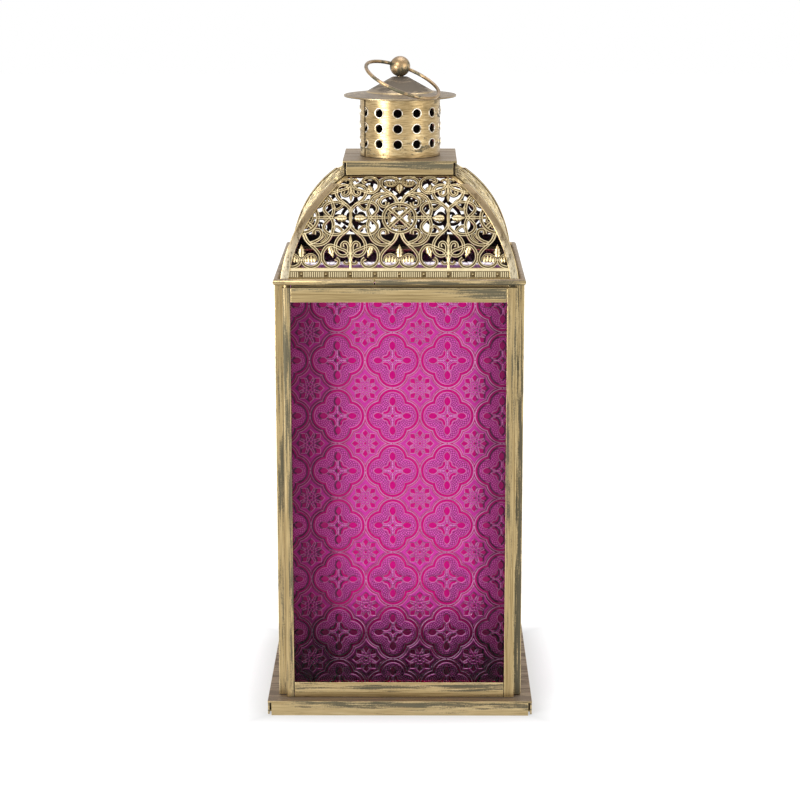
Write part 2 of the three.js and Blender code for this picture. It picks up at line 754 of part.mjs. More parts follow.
// The ring swings down until its wire meets the cap's brim
function restingLean() {
  let lean = 0;
  while (gapToCap(lean + leanStep) > clearance) {
    lean += leanStep;
  }
  return lean;
}

function addRing() {
  const wire = [];
  const wireSides = 6;
  for (let k = 0; k <= wireSides; k += 1) {
    const angle = (2 * Math.PI * k) / wireSides;
    wire.push(new THREE.Vector2(ringRadius + ringWire * Math.cos(angle), ringWire * Math.sin(angle)));
  }
  const ring = new THREE.LatheGeometry(wire, 40);
  const { towards, centre } = ringPlace(restingLean());
  const normal = new THREE.Vector3().crossVectors(towards, boreAxis);
  ring.applyQuaternion(new THREE.Quaternion().setFromUnitVectors(new THREE.Vector3(0, 1, 0), normal));
  addPiece('ring_handle', ring.translate(centre.x, centre.y, centre.z), brass());
}

addBaseTray();
addPosts();
addRails();
addFixedPanes();
addGlazingAngles();
addDoor();
addRoofRim();
addRoofPanels();
addRoofRibs();
addTopPlate();
addChimney();
addCap();
addFinial();
addRing();

export default lantern;
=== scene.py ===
"""A square candle lantern of antiqued sheet brass with pressed magenta glass, a pierced domed
roof, a round chimney and a ring to carry it by. Metres, +Z up, the door faces -Y."""

import math

import bpy
from mathutils import Matrix, Vector


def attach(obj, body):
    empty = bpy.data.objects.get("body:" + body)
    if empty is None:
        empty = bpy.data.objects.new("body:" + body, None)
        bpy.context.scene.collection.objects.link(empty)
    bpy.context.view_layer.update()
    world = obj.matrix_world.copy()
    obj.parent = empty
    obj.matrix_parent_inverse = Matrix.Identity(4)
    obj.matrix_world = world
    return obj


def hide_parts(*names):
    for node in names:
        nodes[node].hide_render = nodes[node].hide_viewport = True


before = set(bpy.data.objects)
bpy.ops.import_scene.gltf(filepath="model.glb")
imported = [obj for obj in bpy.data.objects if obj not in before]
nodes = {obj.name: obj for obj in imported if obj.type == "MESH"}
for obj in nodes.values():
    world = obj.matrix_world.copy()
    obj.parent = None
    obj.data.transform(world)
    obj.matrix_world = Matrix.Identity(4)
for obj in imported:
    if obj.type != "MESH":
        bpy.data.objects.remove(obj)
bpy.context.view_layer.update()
MM = 0.001


# Base tray: sheet brass folded into an upside-down pan, with its corners left open and its rim
# hemmed inwards. The brass was dipped in a dark wash, then brushed bare along each strip, so that
# the wash stays in long strokes, and its folds are painted bright as a highlight.
def linear(code):
    """An sRGB colour such as "C9AD76" as the linear one that shaders take."""
    parts = [int(code[k:k + 2], 16) / 255 for k in (0, 2, 4)]
    return tuple(p / 12.92 if p <= 0.04045 else ((p + 0.055) / 1.055) ** 2.4 for p in parts) + (1.0,)


def cleared(owner):
    """The node tree of a new material or world, emptied."""
    owner.use_nodes = True
    owner.node_tree.nodes.clear()
    return owner.node_tree


def add(tree, kind, *inputs, stops=(), **settings):
    """Adds a shader node. Inputs are values, sockets or nodes in order, or one dict by name."""
    new = tree.nodes.new("ShaderNode" + kind)
    for name, value in settings.items():
        setattr(new, name, value)
    named = inputs[0].items() if inputs and isinstance(inputs[0], dict) else enumerate(inputs)
    for name, value in named:
        if isinstance(value, bpy.types.Node):
            value = next(out for out in value.outputs if out.enabled)
        if isinstance(value, bpy.types.NodeSocket):
            tree.links.new(value, new.inputs[name])
        elif value is not None:
            new.inputs[name].default_value = value
    for k, (place, colour) in enumerate(stops):
        points = new.color_ramp.elements
        point = points[k] if k < 2 else points.new(place)
        point.position = place
        point.color = linear(colour)
    return new


# What lies inside the lantern, in mm: half width, front, back and top
INSIDE = (61.5, -57.1, 61.5, 221.8)

# How metallic the brass is through the film that stays on it, and the specks of its grain
METAL = 0.92
GRAINS_PER_MM = 1.5


def antiqued_brass(name, stroke, wash=0.5, bright="AD976C", drift=None, relief=None, inside=INSIDE,
                   up_shade=(0.45, 0.9, 0.7, "877668")):
    """Yellow brass under a grey-green wash, brushed in strokes of a size in mm (x, y, z).

    wash is its share, bright the brass's own colour, and drift (axis, from, to) in mm where the
    wash thickens. relief is an attribute that is 1 on what stands up, whose low parts take painted
    shade and ridges a painted highlight. What lies in the box inside is painted black as shade. The
    last argument, (from, to, share, colour), is painted shade on slopes, by how far up they face, 0
    to 1. The hairs and the grain are drawn coarser than real ones, which are too fine to show."""
    made = bpy.data.materials.new(name)
    tree = cleared(made)
    place = add(tree, "TexCoord").outputs["Object"]
    sides = add(tree, "SeparateXYZ", place)
    finer = [5 if s < 3 else 1 for s in stroke]
    along = add(tree, "Mapping", {"Vector": place, "Scale": [1 / (MM * s) for s in stroke]})
    over = add(tree, "Mapping", {"Vector": place, "Scale": [0.2 / (MM * s) for s in stroke]})
    fine = add(tree, "Mapping", {
        "Vector": place, "Scale": [k / (MM * s) for k, s in zip(finer, stroke)],
    })
    strokes = add(tree, "TexNoise", {"Vector": along, "Scale": 1.0, "Detail": 4.0, "Roughness": 0.6})
    patches = add(tree, "TexNoise", {"Vector": over, "Scale": 1.0, "Detail": 2.0, "Roughness": 0.5})
    hairs = add(tree, "TexNoise", {"Vector": fine, "Scale": 1.0, "Detail": 2.0, "Roughness": 0.6})
    grain = add(tree, "TexNoise", {
        "Vector": place, "Scale": GRAINS_PER_MM / MM, "Detail": 2.0, "Roughness": 0.6,
    })

    # Where the wash stays, and how bright the brass between is
    cover = add(tree, "Math", patches, 0.4, operation="MULTIPLY")
    for noise, share in ((strokes, 0.42), (grain, 0.1), (hairs, 0.12)):
        cover = add(tree, "Math", noise, share, cover, operation="MULTIPLY_ADD")
    if drift:
        axis, low, high = drift
        lean = add(tree, "MapRange", sides.outputs[axis], low * MM, high * MM, -0.06, 0.06)
        cover = add(tree, "Math", cover, lean, operation="ADD")
    least = 0.54 + (0.5 - wash) * 0.2
    washed = add(tree, "MapRange", cover, least - 0.02, least + 0.04, 0.0, 0.9)
    shine = add(tree, "Math", patches, 0.35, operation="MULTIPLY")
    shine = add(tree, "Math", hairs, 0.65, shine, operation="MULTIPLY_ADD")
    tone = add(tree, "ValToRGB", shine, stops=[
        (0.34, "7F6C47"), (0.5, bright), (0.62, "CDB88C"), (0.74, "EFE2C0"),
    ])
    colour = add(tree, "MixRGB", washed, tone, linear("504E42"))

    # Painted shade darkens what faces up, by how far up it faces
    from_slope, to_slope, share, shade_colour = up_shade
    upward = add(tree, "SeparateXYZ", add(tree, "NewGeometry").outputs["Normal"]).outputs[2]
    up_shaded = add(tree, "MapRange", upward, from_slope, to_slope, 0.0, share)
    dull = add(tree, "MapRange", washed, 0.0, 1.0, 0.3, 0.6)
    dull = add(tree, "Math", up_shaded, 0.25, dull, operation="MULTIPLY_ADD")
    # A relief's low parts are painted dark as shade, and its ridges bright as a highlight
    if relief:
        height = add(tree, "Attribute", attribute_name=relief)
        level = add(tree, "ValToRGB", height.outputs["Fac"], stops=[
            (0.0, "1C160F"), (0.6, "54452B"), (0.8, "A8905C"), (0.9, "F0E0B6"),
        ])
        colour = add(tree, "MixRGB", 0.7, colour, level)
    colour = add(tree, "MixRGB", up_shaded, colour, linear(shade_colour))

    # Inside the lantern the brass is painted near black and not metallic, as painted shade
    metallic = METAL
    if inside:
        half, front, back, top = inside
        within = add(tree, "Math", add(tree, "Math", sides.outputs[0], operation="ABSOLUTE"), half * MM,
                     operation="LESS_THAN")
        for test in (
            add(tree, "Math", sides.outputs[1], (front + back) / 2 * MM, (back - front) / 2 * MM,
                operation="COMPARE"),
            add(tree, "Math", sides.outputs[2], top * MM, operation="LESS_THAN"),
        ):
            within = add(tree, "Math", test, within, operation="MULTIPLY")
        colour = add(tree, "MixRGB", within, colour, linear("150E0C"))
        dull = add(tree, "Math", dull, within, operation="MAXIMUM")
        metallic = add(tree, "Math", METAL, within, operation="SUBTRACT", use_clamp=True)
    pits = add(tree, "Bump", {"Strength": 0.5, "Distance": 0.08 * MM, "Height": cover})
    shader = add(tree, "BsdfPrincipled", {
        "Base Color": colour, "Metallic": metallic, "Roughness": dull, "Normal": pits,
    })
    add(tree, "OutputMaterial", shader)
    return made


# Antiqued brass sheet, brushed along its length: satin yellow metal with grey-green strokes
brass_along_x = antiqued_brass("Antiqued brass brushed across", (22.0, 1.0, 0.8))
brass_along_y = antiqued_brass("Antiqued brass brushed back to front", (1.0, 22.0, 0.8))
brass_along_z = antiqued_brass("Antiqued brass brushed upwards", (0.8, 1.0, 22.0), wash=0.6)

# The same, brushed harder, so that the base is paler and its wash stays under the upper fold
base_brass = antiqued_brass("Antiqued brass of the base", (18.0, 1.3, 0.9), wash=0.35, bright="BCA67A",
                            drift=(2, 1.0, 6.5))

# The same, painted brighter as a highlight: a thin bright line along each fold
fold_highlight = antiqued_brass("Brass painted bright as a highlight on a fold", (3.0, 3.0, 3.0), wash=0.0, bright="D3BC88",
                             inside=None)


def dressed(name, *metals):
    """A CAD piece with these materials in place of its plain one."""
    piece = nodes[name]
    piece.data.materials.clear()
    for metal in metals:
        piece.data.materials.append(metal)
    return piece


def folded_sheet(name, metal, fold=0.25):
    """A CAD sheet piece with its folds rounded, by a radius in mm, and painted bright as a highlight."""
    sheet = dressed(name, metal, fold_highlight)
    weld = sheet.modifiers.new("weld", "WELD")
    weld.merge_threshold = 0.01 * MM
    bevel = sheet.modifiers.new("fold", "BEVEL")
    bevel.width = fold * MM
    bevel.segments = 2
    bevel.limit_method = "ANGLE"
    bevel.angle_limit = math.radians(40)
    bevel.material = 1


folded_sheet("base_tray", base_brass, 0.35)

# Body frame: four corner posts of angle, two angle rails on each side between them, and small
# angles inside the corners that keep the panes in place. All are bent strips of the same sheet,
# soldered where they meet.
CORNERS = ("front_left", "front_right", "back_right", "back_left")
SIDES = ("front", "right", "back", "left")
for corner in CORNERS:
    folded_sheet("post_" + corner, brass_along_z)
    folded_sheet("glazing_angle_" + corner, brass_along_z, 0.15)
for side, metal in zip(SIDES, (brass_along_x, brass_along_y) * 2):
    folded_sheet("lower_rail_" + side, metal)
    folded_sheet("upper_rail_" + side, metal)

# Panes: soda-lime glass that a roller pressed with a repeating quatrefoil and an eight-petalled
# flower, then sprayed with a clear magenta, with painted shade darkening it towards the edges.
# The raised lines stand about 0.4 mm high.
TILE = 27.8
PATTERN_FOOT = 13.95
PRESSED = 0.4

# The tiles are drawn a little narrower and taller than their shapes, as on the real panes
TILES_ACROSS, TILES_UP = 1.0146, 0.982

# The pattern's shapes, in mm: a line is (radius, half width) and a disc is (centre, radius)
LOBE = (6.0, 0.0)
LOBE_BAND = (6.72, 0.66)
LOBE_FILLET = (8.15, 0.25)
LEAF = ((7.35, -0.9), 2.5)
CURL = (3.8, 3.8)
CURL_LINE = (2.2, 0.66)
CURL_END = 4.5
BOSS = 0.85
TOUCH = ((TILE / 2, 0.0), 0.35)
FLANK_COSINE, FLANK_SINE, FLANK_OFFSET = 0.86, 0.509, 1.5
PETAL_TIP = 4.9
SLIT = ((4.4, -1.4), 1.62)
BEAD = ((2.15, 0.0), 0.32)
FLOWER_BOSS = 0.75
DOT_PITCH, DOT_RAYS = 1.45, 18.0
COSINE_45 = 0.7071


def pressed_shapes(tree, across, height):
    """How far, in mm, a point of the pattern lies outside the shapes that stand up, with its
    place along a lobe and off its axis, and its distance from the middle of the lobe."""
    def disc(points, centre, radius):
        """A raised disc."""
        off = add(tree, "VectorMath", points, (*centre, 0), operation="DISTANCE").outputs["Value"]
        return add(tree, "Math", off, radius, operation="SUBTRACT")

    def round_line(centre_off, radius, half):
        """A raised line of a half width, along a circle that centre_off is measured from."""
        off = add(tree, "Math", centre_off, radius, operation="SUBTRACT")
        return add(tree, "Math", add(tree, "Math", off, operation="ABSOLUTE"), half, operation="SUBTRACT")

    # One eighth of a quatrefoil stands for all of it: a runs along a lobe, b away from its axis
    u = add(tree, "Math", across, TILE / 2, operation="PINGPONG")
    v = add(tree, "Math", height, TILE / 2, operation="PINGPONG")
    a = add(tree, "Math", u, v, operation="MAXIMUM")
    b = add(tree, "Math", u, v, operation="MINIMUM")
    folded = add(tree, "CombineXYZ", a, b)
    lobe, from_curl = [
        add(tree, "VectorMath", folded, (*centre, 0), operation="DISTANCE").outputs["Value"]
        for centre in (LOBE, CURL)
    ]
    diagonal = add(tree, "Math", add(tree, "Math", a, b, operation="ADD"), COSINE_45, operation="MULTIPLY")
    boss = add(tree, "Math", diagonal, BOSS, operation="SUBTRACT")
    curl_end = add(tree, "Math", diagonal, CURL_END, operation="SUBTRACT")
    curl = add(tree, "Math", round_line(from_curl, *CURL_LINE), curl_end, operation="MAXIMUM")
    shapes = [
        round_line(lobe, *LOBE_BAND), round_line(lobe, *LOBE_FILLET), disc(folded, *LEAF), boss, curl,
        disc(folded, *TOUCH),
    ]

    # Flower between four quatrefoils: one sixteenth of it stands for eight kite petals, the slits
    # and beads between them, and a boss
    from_flower = add(tree, "VectorMath", add(tree, "CombineXYZ", u, v), (TILE / 2, TILE / 2, 0),
                      operation="SUBTRACT")
    radius = add(tree, "VectorMath", from_flower, operation="LENGTH").outputs["Value"]
    spokes = add(tree, "SeparateXYZ", from_flower)
    turn = add(tree, "Math", spokes.outputs[1], spokes.outputs[0], operation="ARCTAN2")
    off_petal = add(tree, "Math", turn, math.pi / 8, operation="PINGPONG")
    off_slit = add(tree, "Math", math.pi / 8, off_petal, operation="SUBTRACT")
    x, y, s, t = [
        add(tree, "Math", add(tree, "Math", off_spoke, operation=side), radius, operation="MULTIPLY")
        for off_spoke in (off_petal, off_slit) for side in ("COSINE", "SINE")
    ]
    flank = add(tree, "Math", y, FLANK_COSINE, FLANK_OFFSET, operation="MULTIPLY_ADD")
    flank = add(tree, "Math", flank, add(tree, "Math", x, FLANK_SINE, operation="MULTIPLY"),
                operation="SUBTRACT")
    tip = add(tree, "Math", add(tree, "Math", x, y, operation="ADD"), COSINE_45, -PETAL_TIP,
              operation="MULTIPLY_ADD")
    petal = add(tree, "Math", flank, tip, operation="MAXIMUM")
    between = add(tree, "CombineXYZ", s, t)
    flower_boss = add(tree, "Math", radius, FLOWER_BOSS, operation="SUBTRACT")
    shapes += [petal, disc(between, *SLIT), disc(between, *BEAD), flower_boss]
    raised = shapes[0]
    for shape in shapes[1:]:
        raised = add(tree, "Math", raised, shape, operation="MINIMUM")
    return raised, a, b, lobe


def pressed_glass(name, axis, outer, centre, low, high, painted_to=1000.0, paler=0.0):
    """Glass in a pane that faces along axis (0 for X, 1 for Y), its outer face beyond outer, in mm.

    centre is the middle of one column of quatrefoils, low and high the pane's edges across. The
    paint ends at the height painted_to, and the last argument is how far the colour is paled, as
    painted light. The dots are drawn coarser than the real ones, which are too fine to show."""
    made = bpy.data.materials.new(name)
    tree = cleared(made)
    place = add(tree, "SeparateXYZ", add(tree, "TexCoord").outputs["Object"])
    across = add(tree, "Math", place.outputs[1 - axis], 1 / MM, -centre, operation="MULTIPLY_ADD")
    height = add(tree, "Math", place.outputs[2], 1 / MM, -PATTERN_FOOT, operation="MULTIPLY_ADD")
    narrower = add(tree, "Math", across, TILES_ACROSS, operation="MULTIPLY")
    taller = add(tree, "Math", height, TILES_UP, operation="MULTIPLY")
    outside = add(tree, "Math", add(tree, "Math", place.outputs[axis], operation="ABSOLUTE"), outer * MM,
                  operation="GREATER_THAN")
    raised, a, b, lobe = pressed_shapes(tree, narrower, taller)

    # Rows of fine dots fill the lobes round the leaves
    ring = add(tree, "Math", lobe, 2 * math.pi / DOT_PITCH, operation="MULTIPLY")
    ring = add(tree, "Math", ring, operation="SINE")
    ray = add(tree, "Math", b, add(tree, "Math", a, LOBE[0], operation="SUBTRACT"), operation="ARCTAN2")
    beat = add(tree, "Math", add(tree, "Math", ray, DOT_RAYS, operation="MULTIPLY"), operation="SINE")
    dots = add(tree, "Math", ring, beat, operation="MULTIPLY")
    dotted = add(tree, "Math", add(tree, "MapRange", lobe, 5.2, 5.6, 1.0, 0.0),
                 add(tree, "MapRange", raised, 0.4, 0.7, 0.0, 1.0), operation="MULTIPLY")
    dots = add(tree, "Math", dots, dotted, operation="MULTIPLY")

    # What stands up holds the deep colour, a painted highlight runs round it, the ground lies between
    level = add(tree, "MapRange", raised, 0.0, 0.42, 1.0, 0.0, interpolation_type="SMOOTHSTEP")
    level = add(tree, "Math", dots, 0.3, level, operation="MULTIPLY_ADD")
    level = add(tree, "Math", level, outside, operation="MULTIPLY")
    relief = add(tree, "Bump", {"Strength": 1.0, "Distance": PRESSED * MM, "Height": level})
    step = add(tree, "MapRange", raised, -0.5, 1.5, 0.0, 1.0)
    paint = add(tree, "ValToRGB", step, stops=[
        (0.0, "C40058"), (0.235, "B40048"), (0.255, "FFECFF"), (0.35, "FFECFF"), (0.38, "DC28A8"),
        (0.7, "D01C9C"), (1.0, "DC28A8"),
    ])
    speck = add(tree, "MapRange", dots, -0.45, 0.45, 0.0, 1.0)
    speckled = add(tree, "ValToRGB", speck, stops=[(0.0, "3C0228"), (0.5, "B00874"), (1.0, "FF7CF0")])
    colour = add(tree, "MixRGB", add(tree, "Math", dotted, 0.85, operation="MULTIPLY"), paint, speckled)
    stem = add(tree, "MapRange", b, 0.12, 0.3, 1.0, 0.0)
    stem = add(tree, "Math", stem, add(tree, "Math", a, 3.1, 1.8, operation="COMPARE"), operation="MULTIPLY")
    colour = add(tree, "MixRGB", stem, colour, linear("FFDCFF"))
    # The colour is paled as painted light, for light that reaches the inside from the other panes
    colour = add(tree, "MixRGB", paler, colour, linear("FFC0FF"))

    # Painted shade darkens the glass towards the pane's edges
    from_left = add(tree, "Math", across, low - centre, operation="SUBTRACT")
    from_right = add(tree, "Math", high - centre, across, operation="SUBTRACT")
    edge_shade_left = add(tree, "MapRange", from_left, 5.0, 38.0, 1.0, 0.0, interpolation_type="SMOOTHSTEP")
    edge_shade_right = add(tree, "MapRange", from_right, 3.0, 20.0, 0.9, 0.0, interpolation_type="SMOOTHSTEP")
    edge_shade = add(tree, "Math", edge_shade_left, edge_shade_right, operation="MAXIMUM")
    edge_shade = add(tree, "MapRange", edge_shade, 0.25, 1.0, 0.0, 1.0)
    edge_shade_mix = add(tree, "Math", edge_shade, 0.75, operation="MULTIPLY")
    colour = add(tree, "MixRGB", edge_shade_mix, colour, linear("640434"))

    # Painted shade lies near black on the slopes that face the nearer edge
    beyond = pressed_shapes(tree, add(tree, "Math", narrower, PRESSED, operation="ADD"), taller)[0]
    slope = add(tree, "Math", beyond, raised, operation="SUBTRACT")
    nearer = add(tree, "Math", edge_shade_right, edge_shade_left, operation="SUBTRACT")
    slope_shade = add(tree, "Math", nearer, slope, operation="MULTIPLY")
    slope_shade = add(tree, "MapRange", slope_shade, 0.02, 0.12, 0.0, 0.97)
    on_slope = add(tree, "Math", raised, 0.05, 0.45, operation="COMPARE")
    slope_shade = add(tree, "Math", slope_shade, on_slope, operation="MULTIPLY")
    colour = add(tree, "MixRGB", slope_shade, colour, linear("0C0212"))

    # A near black band lies just below where its paint ends, with bare glass above. The inner face
    # is bare too, and matt
    from_head = add(tree, "MapRange", place.outputs[2], (painted_to - 5) * MM, (painted_to - 4) * MM,
                    0.0, 0.97)
    colour = add(tree, "MixRGB", from_head, colour, linear("1C0420"))
    above = add(tree, "Math", place.outputs[2], painted_to * MM, operation="GREATER_THAN")
    within = add(tree, "Math", 1.0, outside, operation="SUBTRACT")
    bare = add(tree, "Math", within, above, operation="MAXIMUM")
    colour = add(tree, "MixRGB", bare, colour, linear("FFF6FF"))
    rough = add(tree, "MapRange", outside, 0.0, 1.0, 0.42, 0.04)

    # A low specular tint takes most of the white sheen away, which would hide the deep colour
    shader = add(tree, "BsdfPrincipled", {
        "Base Color": colour, "Roughness": rough, "IOR": 1.5, "Transmission Weight": 1.0,
        "Specular Tint": (0.15, 0.15, 0.15, 1), "Normal": relief,
    })
    add(tree, "OutputMaterial", shader)
    return made


# Soda-lime glass pressed by a roller and sprayed with clear lacquer: deep pink shapes with painted
# highlights round them, glossy outside and matt within, and painted shade towards the edges
glass_front = pressed_glass("Pressed magenta glass, door", 1, 59.7, -3.5, -52.0, 51.5)
glass_sides = pressed_glass("Pressed magenta glass, sides", 0, 59.6, 2.2, -54.0, 58.0)
# The back pane's colour is paled as painted light
glass_back = pressed_glass("Pressed magenta glass, back", 1, 59.6, 0.0, -54.0, 54.0, 212.6, 0.2)
dressed("pane_left", glass_sides)
dressed("pane_right", glass_sides)
dressed("pane_back", glass_back)

# Door: two channel stiles and two channel rails round their own pane. The hinge stile is rolled
# round two pins, which turn in holes in the base and the roof rim.
for stile in ("door_stile_hinge", "door_stile_free"):
    folded_sheet(stile, brass_along_z, 0.2)
for rail in ("door_rail_top", "door_rail_bottom"):
    folded_sheet(rail, brass_along_x, 0.2)
# The pins take the brass painted bright as a highlight
for pin in ("door_pin_bottom", "door_pin_top"):
    dressed(pin, fold_highlight)
dressed("door_pane", glass_front)

# Roof rim: a flat ledge of sheet brass whose outer edge is rolled round a bead. The strip is bent
# round the four sides and butted at one seam in front.
folded_sheet("roof_rim", brass_along_x, 0.3)


# Roof panels: thin sheet pressed into filigree and pierced, bent to one arc on each side. Each
# strand is a double ridge, and each leaf a swelling with a vein. One panel is drawn flat, in mm
# across and up, then wrapped on the arc and turned to the four sides.
def joined(*pieces):
    """Joins objects into the first of them."""
    bpy.ops.object.select_all(action="DESELECT")
    for piece in pieces:
        piece.select_set(True)
    bpy.context.view_layer.objects.active = pieces[0]
    bpy.ops.object.join()
    return pieces[0]


def modelled(name, body, metals, *replaced, angle=35):
    """Names the active object, shades it, and sets it in the frame in place of CAD nodes."""
    piece = bpy.context.object
    piece.name = piece.data.name = name
    bpy.ops.object.transform_apply(location=True, rotation=True, scale=True)
    bpy.ops.object.shade_smooth_by_angle(angle=math.radians(angle))
    for metal in metals[len(piece.data.materials):]:
        piece.data.materials.append(metal)
    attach(piece, body)
    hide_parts(*replaced)
    piece.select_set(False)


def apply_modifier(piece, kind, **settings):
    """Adds a modifier to the active object and applies it."""
    modifier = piece.modifiers.new("form", kind)
    for name, value in settings.items():
        setattr(modifier, name, value)
    bpy.ops.object.modifier_apply(modifier=modifier.name)


def curve(lines, kind="BEZIER", section=None):
    """A curve object of lines in mm. Each is (points, closed), and a point is (x, y, width)."""
    bpy.ops.object.select_all(action="DESELECT")
    bpy.ops.curve.primitive_bezier_curve_add(location=(0, 0, 0))
    drawn = bpy.context.object
    drawn.data.splines.clear()
    drawn.data.twist_mode = "Z_UP"
    drawn.data.resolution_u = 4
    drawn.data.use_fill_caps = True
    for points, closed in lines:
        spline = drawn.data.splines.new(kind)
        corners = spline.bezier_points if kind == "BEZIER" else spline.points
        corners.add(len(points) - 1)
        for corner, (x, y, *width) in zip(corners, points):
            corner.co = (x * MM, y * MM, 0) if kind == "BEZIER" else (x * MM, y * MM, 0, 1)
            corner.radius = width[0] if width else 1.0
            if kind == "BEZIER":
                corner.handle_left_type = corner.handle_right_type = "AUTO"
        spline.use_cyclic_u = closed
    if section:
        drawn.data.bevel_mode = "OBJECT"
        drawn.data.bevel_object = section
        bpy.ops.object.convert(target="MESH")
    return drawn


PITCH = 48.5
FOOT_BAND, OPEN_TOP, PANEL_TOP = 7.15, 58.654, 63.954
MIDDLE = (FOOT_BAND + OPEN_TOP) / 2
HALF_PITCH = PITCH / 2
HALF_RISE = (OPEN_TOP - FOOT_BAND) / 2
ARC_CENTRE = (-7.6912, 216.4134)
ARC_RADIUS = 66.2
ARC_FOOT = math.radians(5.536178)
MEDALLION, SCALLOPED, SCALLOP = 8, 4.6, 1.1


def on_arc(up, lift):
    """Distance from the axis and height, in mm, of a point up the roof's arc."""
    angle = ARC_FOOT + up / ARC_RADIUS
    radius = ARC_RADIUS + lift
    return ARC_CENTRE[0] + radius * math.cos(angle), ARC_CENTRE[1] + radius * math.sin(angle)


def leaf(base, tip, half, teeth=4):
    """Points of a pointed leaf with a serrated edge."""
    points = [(*base, half * 0.3)]
    for k in range(teeth):
        for share, cut in ((0.25, 1.0), (0.8, 0.9), (0.97, 0.66)):
            t = (k + share) / teeth
            fullness = math.sin(math.pi * min(t * 0.95 + 0.08, 1.0) ** 0.8)
            place = [base[n] + (tip[n] - base[n]) * t for n in (0, 1)]
            points.append((*place, max(half * fullness * cut, 0.15)))
    return points + [(*tip, 0.1)]


# Strands in shares of half a cell, counted from the medallion or from the heart's axis
from_medallion = [
    [(0.03, 0.32), (0.09, 0.45), (0.21, 0.575), (0.33, 0.69), (0.385, 0.8),
     (0.355, 0.92), (0.235, 0.985), (0.12, 0.975), (0.04, 0.92), (0.01, 0.82)],
    [(0.05, 0.33), (0.13, 0.49), (0.24, 0.55), (0.37, 0.555), (0.505, 0.5),
     (0.595, 0.385), (0.64, 0.25), (0.645, 0.11), (0.6, 0)],
    [(0.17, 0.525), (0.3, 0.48), (0.39, 0.41), (0.41, 0.32), (0.35, 0.25), (0.27, 0.265),
     (0.25, 0.34, 1.5)],
]
from_heart = [
    [(0, 0.18), (0.1, 0.29), (0.21, 0.385), (0.285, 0.49), (0.31, 0.594), (0.29, 0.69), (0.21, 0.76),
     (0.12, 0.77), (0.055, 0.73), (0.035, 0.65), (0.045, 0.56), (0.11, 0.505), (0.17, 0.54),
     (0.165, 0.6, 1.5)],
    [(0.01, 0.82), (0.08, 0.69), (0.21, 0.632), (0.325, 0.585), (0.425, 0.565), (0.525, 0.635),
     (0.573, 0.765), (0.545, 0.89), (0.445, 0.975), (0.345, 0.985), (0.26, 0.94), (0.24, 0.87),
     (0.3, 0.82, 1.5)],
    [(0, 0.12), (0.035, 0.215), (0.15, 0.31), (0.29, 0.35), (0.425, 0.335), (0.525, 0.265),
     (0.55, 0.18), (0.495, 0.09), (0.4, 0)],
]

# Small strands in mm from the medallion's middle: a palmette's outline, two stems, two end curls
small_strands = [
    [(0.7, 22.6, 0.7), (2.4, 19.9, 0.7), (4.8, 19.1, 0.7), (7.0, 20.4, 0.7), (7.5, 22.3, 0.7)],
    [(12.6, 9.0, 0.7), (12.0, 10.9, 0.7), (9.6, 13.2, 0.6)],
    [(11.3, 8.4, 0.7), (10.6, 10.0, 0.7), (8.2, 12.0, 0.6)],
    [(20.6, 7.95, 0.8), (19.0, 5.6, 0.8), (16.8, 4.6, 0.8), (15.9, 5.8, 1.0)],
    [(24.2, 22.3, 0.8), (23.0, 23.8, 0.8), (21.6, 23.6, 0.8), (21.0, 22.6, 1.0)],
]
palmette_tips = [(1.9, 20.9), (3.3, 20.0), (4.8, 19.8), (6.2, 20.6)]
heart_bud = [
    (0.35, 0.1), (0.42, 0.6), (0.47, 0.95), (0.53, 0.4), (0.57, 0.75), (0.61, 0.4), (0.7, 0.6),
    (0.78, 0.6), (0.85, 1.0), (0.9, 0.5), (0.97, 0.7), (1.03, 0.8),
]
strands, leaves = [], []


def strand(*points, closed=False):
    """Draws a strand through points (x, y, width)."""
    strands.append((points, closed))


def swell(*points):
    """Draws a leaf or a bud through points (x, y, width)."""
    leaves.append((points, False))


def placed(u, v, *width, up=1):
    """A point in mm from the medallion at centre, outwards across and up or down."""
    return (centre + across * u, MIDDLE + up * v, *width)


for centre in (-PITCH, 0, PITCH):
    for radius, scallop, width in ((MEDALLION, 0, 1.1), (SCALLOPED, SCALLOP, 0.8)):
        strand(*((centre + (radius + scallop * (k % 2)) * math.cos(k * math.pi / 8),
                  MIDDLE + (radius + scallop * (k % 2)) * math.sin(k * math.pi / 8), width)
                 for k in range(16)), closed=True)
    for across in (-1, 1):
        strand(placed(-5.4, -5.4, 1.3), placed(5.4, 5.4, 1.3))
        strand(placed(MEDALLION, 0), placed(16, 0))
        strand(placed(11.5, -1.5, 0.8), placed(11.5, 1.5, 0.8))
        strand(placed(5, 0, 0.7), placed(MEDALLION, 0, 0.7))
        swell(*leaf(placed(22.2, 0), placed(15.8, 0), 2.5))
        for up in (-1, 1):
            for drawing, origin, way in ((from_medallion, centre, across),
                                         (from_heart, centre + across * HALF_PITCH, -across)):
                for line in drawing:
                    strand(*((origin + way * u * HALF_PITCH, MIDDLE + up * v * HALF_RISE, *width)
                             for u, v, *width in line))
            for line in small_strands:
                strand(*(placed(*point, up=up) for point in line))
            for u, v in palmette_tips:
                swell(placed(u + 0.3, 23.0, 0.5, up=up), placed(u + 0.2, 21.7, 0.75, up=up),
                      placed(u, v, 0.3, up=up))
            swell(*leaf(placed(13.9, 15.2, up=up), placed(15.7, 20.6, up=up), 1.9, 3))
    for up in (-1, 1):
        strand((centre, MIDDLE + up * 5, 0.7), (centre, MIDDLE + up * MEDALLION, 0.7))
        swell(*leaf((centre, MIDDLE + up * 20.6), (centre, MIDDLE + up * 14.2), 2.3))
